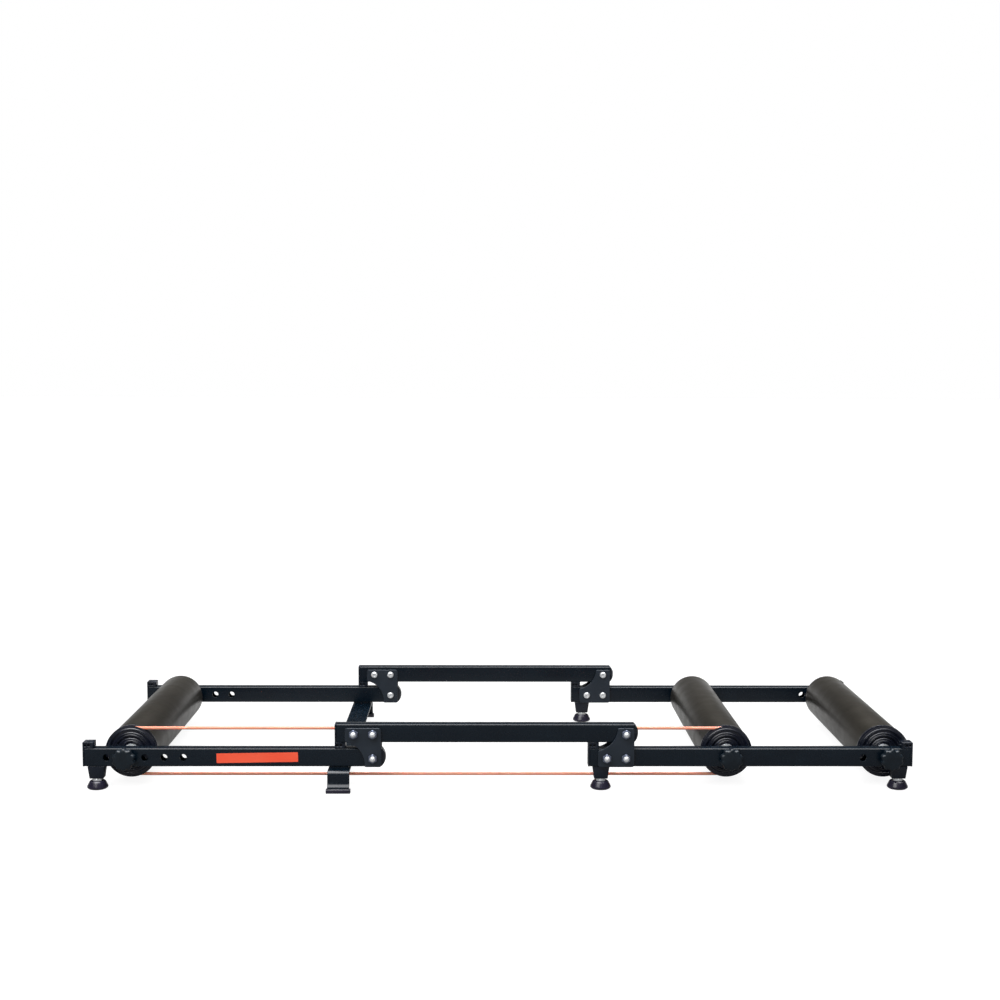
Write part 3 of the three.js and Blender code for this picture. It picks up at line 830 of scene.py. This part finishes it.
def make_hinge(name, label):
    """Two plates on either side of the rails, two fixed bolts and the pivot bolt."""
    side = SIDES[label]
    up = 1 if name == "front" else -1
    outer = f"{name}_hinge_outer_plate_{label}"
    inner = f"{name}_hinge_inner_plate_{label}"
    pivot_node = f"{name}_pivot_bolt_{label}"
    pivot = middle(pivot_node)
    rail = middle(f"front_rail_{label}")
    inner_faces = sorted((low(inner).y, high(inner).y), key=abs)
    outer_faces = [2 * rail.y - y for y in reversed(inner_faces)]
    outline = plate_outline(pivot, low(inner), high(inner), up)
    piece(f"{outer}_sheet", prism(outline, *outer_faces), [outer], "plate_paint", PLATE_EDGE)
    piece(f"{inner}_sheet", prism(outline, *inner_faces), [inner], "plate_paint", PLATE_EDGE)
    fixed_z = pivot.z + up * (middle(f"middle_rail_{label}").z - rail.z)
    ends = (outer_faces[1], inner_faces[0], side)
    fixed = Shape()
    nuts = Shape()
    for x in (pivot.x, pivot.x - BOLT_SPACING):
        fixed.add(bolt(x, fixed_z, *ends))
        nuts.add(nut(outer_faces[1], side).moved(x, 0, fixed_z))
    pivot_nut = nut(outer_faces[1], side).moved(pivot.x, 0, pivot.z)
    piece(f"{name}_hinge_fixed_bolts_{label}", fixed, [outer], "zinc")
    # The nuts take the darkened zinc, which is painted shade for their dark faces.
    piece(f"{name}_hinge_fixed_nuts_{label}", nuts, [outer], "zinc_painted_shade")
    piece(f"{pivot_node}_dome_and_head", bolt(pivot.x, pivot.z, *ends), [pivot_node], "zinc")
    piece(f"{pivot_node}_nut", pivot_nut, [pivot_node], "zinc_painted_shade")


# Stand
def make_stand():
    """A bent strip with a groove along its middle, two spacers on it and the two shoes."""
    start, end = low("stand_crossbar"), high("stand_crossbar")
    top = end.z - SPACER_HEIGHT
    outer = end.y - STAND_FLARE
    short = high("front_rail_right").y - GROOVE_SHORT

    def path(edge, crest, bend):
        half = [(short - GROOVE_RUN_OUT, crest), (short, crest), (edge, crest, bend),
                (edge, FLARE_TOP, FLARE_BEND), (edge + STAND_FLARE, FLARE_BOTTOM, FLARE_BEND),
                (edge + STAND_FLARE, start.z)]
        mirrored = [(-point[0], *point[1:]) for point in reversed(half)]
        return soft(mirrored + half, closed=False, steps=6)

    outside = path(outer, top, STAND_BEND)
    inside = path(outer - STAND_THICKNESS, top - STAND_THICKNESS, STAND_BEND - STAND_THICKNESS)
    middle_x = (start.x + end.x) / 2
    shoulder = GROOVE_HALF + GROOVE_SLOPE
    rings = []
    for (y, z), (inner_y, inner_z) in zip(outside, inside):
        depth = GROOVE_DEPTH if abs(y) <= short - GROOVE_RUN_OUT / 2 else 0
        rows = [(start.x, z), (middle_x - shoulder, z), (middle_x - GROOVE_HALF, z - depth),
                (middle_x + GROOVE_HALF, z - depth), (middle_x + shoulder, z), (end.x, z)]
        ring = [(x, y, height) for x, height in rows]
        rings.append(ring + [(end.x, inner_y, inner_z), (start.x, inner_y, inner_z)])
    piece("stand_crossbar_strip", loft(rings), ["stand_crossbar"], "frame_paint", STAND_EDGE)
    spacers = Shape()
    block = rectangle(middle_x - SPACER_HALF, middle_x + SPACER_HALF, top - SEAT, end.z, SPACER_CORNER)
    for label in SIDES:
        rail = f"front_rail_{label}"
        spacers.add(prism(block, low(rail).y + SPACER_INSET, high(rail).y - SPACER_INSET))
        shoe = f"stand_shoe_{label}"
        piece(f"{shoe}_block", softened(shoe, SHOE_EDGE), [shoe], "foot_rubber")
    piece("stand_crossbar_spacers", spacers, ["stand_crossbar"], "frame_paint", STAND_EDGE)


# Levelling feet
def thread(radius, bottom, top):
    """A stud with a helical thread."""
    step = THREAD_PITCH / THREAD_STEPS
    rows = int((top - bottom) / step)
    profile = [(0, bottom)] + [(radius, bottom + i * step) for i in range(rows + 1)]
    profile.append((0, bottom + rows * step))

    def reach(radius, height, angle):
        turn = (height / THREAD_PITCH - angle / (2 * math.pi)) % 1
        return radius - THREAD_DEPTH * abs(2 * turn - 1)

    return lathe(profile, THREAD_FACETS, reach=reach)


def make_foot(name, label):
    """A rubber pad on the floor, a jam nut in its recess and a stud up to the cap's socket."""
    node = f"{name}_foot_{label}"
    place = middle(node)
    base = PAD_HEIGHT - PAD_RECESS
    pad = lathe(soft(PAD, closed=False, steps=5), FOOT_FACETS)
    jam_nut = plain_nut(STUD_RADIUS - THREAD_DEPTH, JAM_NUT_FLAT, base, PAD_HEIGHT + JAM_NUT_HEIGHT,
                        JAM_NUT_CHAMFER)
    stud = thread(STUD_RADIUS, base, high(node).z)
    for part, shape, finish in (("pad", pad, "foot_rubber"), ("jam_nut", jam_nut, "zinc"),
                                ("stud", stud, "zinc")):
        piece(f"{node}_{part}", shape.moved(place.x, place.y, 0), [node], finish)


# Drums
def bead(inner, outer, valley):
    """One round ridge of a cap's face between two radii, with valleys of that depth beside it."""
    rise, inner_round = BEAD_INNER
    fall, outer_round = BEAD_OUTER
    return [(inner, valley, CAP_ROUND), (inner + rise, BEAD_CREST, inner_round),
            (outer - fall, BEAD_CREST, outer_round), (outer, valley, CAP_ROUND)]


def cap_face(rim):
    """(radius, depth) of a drum cap's ribbed face, from the bearing's edge to the rim."""
    profile = list(CAP_HUB)
    for form, inner, outer, depth in CAP_RIBS:
        profile += bead(inner, outer, depth) if form == "bead" else [(inner, depth), (outer, depth)]
    return profile + [(rim - CAP_ROUND, CAP_RIM_DEPTHS[0]), (rim, CAP_RIM_DEPTHS[1])]


def belt_groove(pitch_radius, rim):
    """(radius, depth) of the belt groove, from the cap's front flange inwards."""
    centre = middle("drive_belt").y - low("front_drum_pulley_cap").y
    root = pitch_radius - BELT_RADIUS - BELT_GROOVE_GAP
    rise, shoulder, shoulder_round = BELT_GROOVE_FLANK
    half, root_round = BELT_GROOVE_ROOT
    return [(rim, centre - BELT_GROOVE_HALF, CAP_ROUND),
            (root + rise, centre - shoulder, shoulder_round), (root, centre - half, root_round),
            (root, centre + half, root_round), (root + rise, centre + shoulder, shoulder_round),
            (rim, centre + BELT_GROOVE_HALF, CAP_ROUND)]


def drum_cap(place, face_y, side, width, rim, groove):
    """A cap whose ribbed face is at face_y and whose plug goes into the drum."""
    plug_end = width + CAP_PLUG_DEPTH
    profile = cap_face(rim) + groove
    profile += [(rim, width, CAP_ROUND), (CAP_PLUG, width), (CAP_PLUG, plug_end, CAP_PLUG_ROUND),
                (CAP_BORE, plug_end)]
    turned = lathe(soft(profile, steps=3), CAP_FACETS, closed=True)
    return along_y(turned, -side).moved(place.x, face_y, place.z)


def make_drum(name):
    """A tube, a cap with the belt's groove at the left and a plain one at the right."""
    tube = f"{name}_drum_tube"
    pulley = f"{name}_drum_pulley_cap"
    plain = f"{name}_drum_plain_cap"
    place = middle(tube)
    start, end = low(tube), high(tube)
    radius = (end.x - start.x) / 2
    inner = radius - DRUM_WALL
    wall = soft([(inner, start.y, DRUM_INNER_ROUND), (radius, start.y, DRUM_OUTER_ROUND),
                 (radius, end.y, DRUM_OUTER_ROUND), (inner, end.y, DRUM_INNER_ROUND)])
    shell = along_y(lathe(wall, DRUM_FACETS, closed=True)).moved(place.x, 0, place.z)
    piece(f"{name}_drum_shell", shell, [tube], "drum_alloy")
    flange = radius + FLANGE_RISE
    groove = belt_groove(high("drive_belt").z - BELT_RADIUS - place.z, flange)
    left = drum_cap(place, low(pulley).y, -1, PULLEY_WIDTH, flange, groove)
    right = drum_cap(place, high(plain).y, 1, PLAIN_WIDTH, PLAIN_RIM, [])
    piece(f"{name}_drum_pulley", left, [pulley], "drum_cap_plastic")
    piece(f"{name}_drum_end", right, [plain], "drum_cap_plastic")


def make_bearing(name, label):
    """Two races and the shield between them."""
    node = f"{name}_bearing_{label}"
    side = SIDES[label]
    place = middle(node)
    bore = AXLE_RADIUS + SEAT
    width = BEARING_WIDTH
    inner_edge, outer_edge = RACE_EDGES
    inner_ledge, outer_ledge = RACE_LEDGES
    bore_round, edge_round, rim_round = RACE_ROUNDS
    outer = [(outer_edge, 0, edge_round), (BEARING_RADIUS, 0, rim_round),
             (BEARING_RADIUS, width, rim_round), (outer_edge, width, edge_round),
             (outer_ledge, width - LEDGE_DEPTH), (outer_ledge, LEDGE_DEPTH)]
    inner = [(bore, 0, bore_round), (inner_edge, 0, edge_round), (inner_ledge, LEDGE_DEPTH),
             (inner_ledge, width - LEDGE_DEPTH), (inner_edge, width, edge_round),
             (bore, width, bore_round)]
    near, far = SHIELD_EDGES
    ridge, ridge_depth, ridge_round = SHIELD_RIDGE
    shield = [(near, SHIELD_DEPTH), (ridge, ridge_depth, ridge_round), (far, SHIELD_DEPTH),
              (far, width - SHIELD_DEPTH), (ridge, width - ridge_depth, ridge_round),
              (near, width - SHIELD_DEPTH)]
    turned = [lathe(soft(ring, steps=2), SMALL_FACETS, closed=True) for ring in (outer, inner, shield)]
    for part, shape in (("races", turned[0].add(turned[1])), ("shield", turned[2])):
        laid = along_y(shape, side).moved(place.x, place.y - side * width / 2, place.z)
        piece(f"{node}_{part}", laid, [node], "bearing_steel")


def make_axle(name):
    """A shaft, and at each end the spacer and the lock nut between the bearing and the rail."""
    node = f"{name}_axle"
    place = middle(node)
    reach = high(node).y
    line = soft([(0, -reach), (AXLE_RADIUS, -reach, AXLE_ROUND), (AXLE_RADIUS, reach, AXLE_ROUND),
                 (0, reach)], closed=False, steps=2)
    shaft = along_y(lathe(line, SMALL_FACETS)).moved(place.x, 0, place.z)
    piece(f"{node}_shaft", shaft, [node], "zinc")
    bearing_face = high(f"{name}_drum_plain_cap").y - BEARING_RECESS + SEAT
    rail_face = low("front_rail_right").y - SEAT
    nut_start = rail_face - LOCK_NUT_WIDTH
    near_round, far_round = SPACER_ROUNDS
    collar = soft([(AXLE_RADIUS, bearing_face), (SPACER_RADIUS, bearing_face, near_round),
                   (SPACER_RADIUS, nut_start, far_round), (AXLE_RADIUS, nut_start)], steps=2)
    spacer = lathe(collar, SMALL_FACETS, closed=True)
    lock_nut = plain_nut(AXLE_RADIUS, LOCK_NUT_FLAT, nut_start, rail_face, LOCK_NUT_CHAMFER)
    fittings = Shape()
    for side in SIDES.values():
        fittings.add(along_y(spacer, side), along_y(lock_nut, side))
    piece(f"{node}_fittings", fittings.moved(place.x, 0, place.z), [node], "zinc")


def knob_reach(radius, height, angle):
    """Shallow lobes that fade out towards the middle of the knob."""
    fade = max(0, min(1, (radius - KNOB_LOBE_START) / (KNOB_RADIUS - KNOB_LOBE_START)))
    return radius + KNOB_LOBE_DEPTH * fade * math.cos(KNOB_LOBES * (angle - math.pi / 2))


def make_knob(name, label):
    """A lobed knob with a rounded crown, a neck against the rail and a blind bore."""
    node = f"{name}_knob_{label}"
    side = SIDES[label]
    place = middle(node)
    near, far = sorted(abs(face.y) for face in (low(node), high(node)))
    length = far - near
    neck = KNOB_NECK - SEAT
    bore = KNOB_BORE_DEPTH - SEAT
    profile = [(radius, length - depth, *rounding) for radius, depth, *rounding in KNOB_CROWN]
    profile += [(radius, neck + rise, *rounding) for radius, rise, *rounding in KNOB_SKIRT]
    profile += [*KNOB_FOOT, (KNOB_BORE, bore), (0, bore)]
    turned = lathe(soft(profile, closed=False), KNOB_FACETS, reach=knob_reach)
    shape = along_y(turned, side)
    piece(f"{node}_grip", shape.moved(place.x, side * near, place.z), [node], "knob_plastic")


# Drive belt: two halves that meet in the middle section
def belt_half(centre_x, meet_x, radius, centre_y, centre_z):
    """One half of the loop: upper run, turn round a pulley, lower run."""
    side = 1 if centre_x > meet_x else -1
    path = []
    for k in range(BELT_RUN_STEPS):
        path.append((meet_x + (centre_x - meet_x) * k / BELT_RUN_STEPS, radius, 0, 1))
    for k in range(BELT_ARC_STEPS + 1):
        angle = math.pi * k / BELT_ARC_STEPS
        path.append((centre_x + side * radius * math.sin(angle), radius * math.cos(angle),
                     side * math.sin(angle), math.cos(angle)))
    for k in range(1, BELT_RUN_STEPS + 1):
        path.append((centre_x + (meet_x - centre_x) * k / BELT_RUN_STEPS, -radius, 0, -1))
    rings = []
    for x, z, out_x, out_z in path:
        ring = []
        for i in range(BELT_SIDES):
            turn = 2 * math.pi * i / BELT_SIDES
            out = BELT_RADIUS * math.cos(turn)
            ring.append((x + out * out_x, centre_y + BELT_RADIUS * math.sin(turn),
                         centre_z + z + out * out_z))
        rings.append(ring)
    return loft(rings)


def make_belt():
    """Both halves, the front one round the front drum and the rear one round the middle drum."""
    node = "drive_belt"
    centre = middle(node)
    radius = high(node).z - BELT_RADIUS - centre.z
    pivots = [middle("front_pivot_bolt_left"), middle("rear_pivot_bolt_left")]
    meet_x = (pivots[0].x + pivots[1].x) / 2
    halves = (("belt_front", "front_axle", pivots[0], "front_frame", "middle_frame"),
              ("belt_rear", "middle_axle", pivots[1], "middle_frame", "rear_frame"))
    for name, axle, pivot, before, after in halves:
        shape = belt_half(middle(axle).x, meet_x, radius, centre.y, centre.z)
        made = shown(name, shape, "belt_rubber")
        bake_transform(made)
        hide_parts(node)


def make_label():
    """A blank strip of vinyl on the near front rail."""
    rail = "front_rail_left"
    face = low(rail).y
    centre_x = low("front_end_cap_left").x + LABEL_START + LABEL_LENGTH / 2
    centre_z = middle(rail).z
    half_x, half_z = LABEL_LENGTH / 2, LABEL_HEIGHT / 2
    outline = []
    for x, z in rectangle(-half_x, half_x, -half_z, half_z, LABEL_CORNER):
        outline.append((centre_x + x * math.cos(LABEL_TILT) - z * math.sin(LABEL_TILT),
                        centre_z + x * math.sin(LABEL_TILT) + z * math.cos(LABEL_TILT)))
    shape = prism(outline, face - LABEL_THICKNESS, face)
    piece("front_rail_blank_strip", shape, [], "label_vinyl", body="front_frame")


# Floor, light and camera
def math_node(nodes, links, operation, first, second):
    """The result of a socket with another socket or with a number."""
    made = nodes.new("ShaderNodeMath")
    made.operation = operation
    links.new(first, made.inputs[0])
    if isinstance(second, (int, float)):
        made.inputs[1].default_value = second
    else:
        links.new(second, made.inputs[1])
    return made.outputs[0]


def rays(nodes, links):
    """Sockets that are 1 where the camera looks, also through glass, and where gloss reflects."""
    path = nodes.new("ShaderNodeLightPath")
    clear = math_node(nodes, links, "MAXIMUM", path.outputs["Is Camera Ray"],
                      path.outputs["Is Transmission Ray"])
    return clear, path.outputs["Is Glossy Ray"]


def axes(nodes, links, coordinate):
    """The X, Y and Z sockets of a texture coordinate."""
    place = nodes.new("ShaderNodeTexCoord")
    split = nodes.new("ShaderNodeSeparateXYZ")
    links.new(place.outputs[coordinate], split.inputs[0])
    return split.outputs


def background(nodes, strength):
    made = nodes.new("ShaderNodeBackground")
    made.inputs["Color"].default_value = (1, 1, 1, 1)
    made.inputs["Strength"].default_value = strength
    return made


def mixed(nodes, links, share, first, second):
    """A shader that goes from the first to the second as the share goes from 0 to 1."""
    made = nodes.new("ShaderNodeMixShader")
    for source, target in zip((share, first, second), made.inputs):
        links.new(source, target)
    return made.outputs[0]


def make_floor():
    """A pale floor that the camera sees white; what is glossy sees its far part lighter."""
    reach = FLOOR_REACH
    corners = [(-reach, -reach, 0), (reach, -reach, 0), (reach, reach, 0), (-reach, reach, 0)]
    mesh = bpy.data.meshes.new("floor")
    mesh.from_pydata(corners, [], [(0, 1, 2, 3)])
    floor = added("floor", mesh)
    material = bpy.data.materials.new("floor")
    material.use_nodes = True
    nodes, links = material.node_tree.nodes, material.node_tree.links
    shader = nodes["Principled BSDF"]
    shader.inputs["Base Color"].default_value = [FLOOR_ALBEDO] * 3 + [1]
    shader.inputs["Roughness"].default_value = FLOOR_ROUGHNESS
    shader.inputs["Specular IOR Level"].default_value = FLOOR_SPECULAR
    shader.inputs["Emission Color"].default_value = (1, 1, 1, 1)
    far = map_range(nodes, *FLOOR_GLOW_SPAN, 0, FLOOR_GLOW)
    links.new(axes(nodes, links, "Object")["Y"], far.inputs["Value"])
    clear, glossy = rays(nodes, links)
    white = math_node(nodes, links, "MULTIPLY", clear, FLOOR_WHITE)
    seen = math_node(nodes, links, "MULTIPLY", glossy, far.outputs["Result"])
    glow = math_node(nodes, links, "ADD", white, seen)
    links.new(glow, shader.inputs["Emission Strength"])
    mesh.materials.append(material)


def make_world():
    """White where the camera looks, even light, and a dim wall under a bright ceiling for gloss."""
    world = bpy.data.worlds.new("studio")
    bpy.context.scene.world = world
    world.use_nodes = True
    nodes, links = world.node_tree.nodes, world.node_tree.links
    nodes.clear()
    output = nodes.new("ShaderNodeOutputWorld")
    height = nodes.new("ShaderNodeValToRGB")
    links.new(axes(nodes, links, "Generated")["Z"], height.inputs["Fac"])
    stops = height.color_ramp.elements
    for sine, _ in REFLECTED[1:-1]:
        stops.new(sine)
    for (_, strength), stop in zip(REFLECTED, stops):
        stop.color = [strength / CEILING] * 3 + [1]
    even = background(nodes, AMBIENT)
    room = background(nodes, 1)
    white = background(nodes, 1)
    bright = math_node(nodes, links, "MULTIPLY", height.outputs["Color"], CEILING)
    links.new(bright, room.inputs["Strength"])
    clear, glossy = rays(nodes, links)
    lit = mixed(nodes, links, glossy, even.outputs[0], room.outputs[0])
    seen = mixed(nodes, links, clear, lit, white.outputs[0])
    links.new(seen, output.inputs["Surface"])


def make_lamp(name, place, size, power):
    """A square lamp that points at the middle of the floor."""
    lamp = bpy.data.lights.new(name, "AREA")
    lamp.shape = "SQUARE"
    lamp.size = size
    lamp.energy = power
    made = added(name, lamp)
    made.location = place
    made.rotation_mode = "QUATERNION"
    made.rotation_quaternion = (-Vector(place)).to_track_quat("-Z", "Y")


def make_camera():
    """The camera of the photograph: turned by yaw from +Y, down by pitch, then rolled."""
    yaw, pitch, roll = CAMERA_YAW, CAMERA_PITCH, CAMERA_ROLL
    forward = Vector((math.sin(yaw) * math.cos(pitch), math.cos(yaw) * math.cos(pitch),
                      -math.sin(pitch)))
    level = Vector((math.cos(yaw), -math.sin(yaw), 0))
    upright = level.cross(forward)
    right = level * math.cos(roll) + upright * math.sin(roll)
    up = upright * math.cos(roll) - level * math.sin(roll)
    camera = added("camera", bpy.data.cameras.new("camera"))
    camera.data.sensor_width = SENSOR
    camera.data.lens = SENSOR * FOCAL_PIXELS / FRAME_PIXELS
    camera.data.clip_start, camera.data.clip_end = CAMERA_CLIP
    turned = Matrix((right, up, -forward)).transposed().to_4x4()
    camera.matrix_world = Matrix.Translation(Vector(CAMERA_PLACE) * MM) @ turned
    bpy.context.scene.camera = camera


for label in SIDES:
    for section in SECTIONS:
        make_rail(section, label)
        make_bearing(section, label)
        make_knob(section, label)
    for cap, section, up, end in CAPS:
        make_cap(cap, section, label, up, end)
    for hinge in ("front", "rear"):
        make_hinge(hinge, label)
    for foot in ("front", "hinge", "rear"):
        make_foot(foot, label)
for section in SECTIONS:
    make_drum(section)
    make_axle(section)
make_stand()
make_belt()
make_label()
make_floor()
make_world()
for lamp in LAMPS:
    make_lamp(*lamp)
make_camera()
bpy.context.scene.view_settings.view_transform = "Standard"
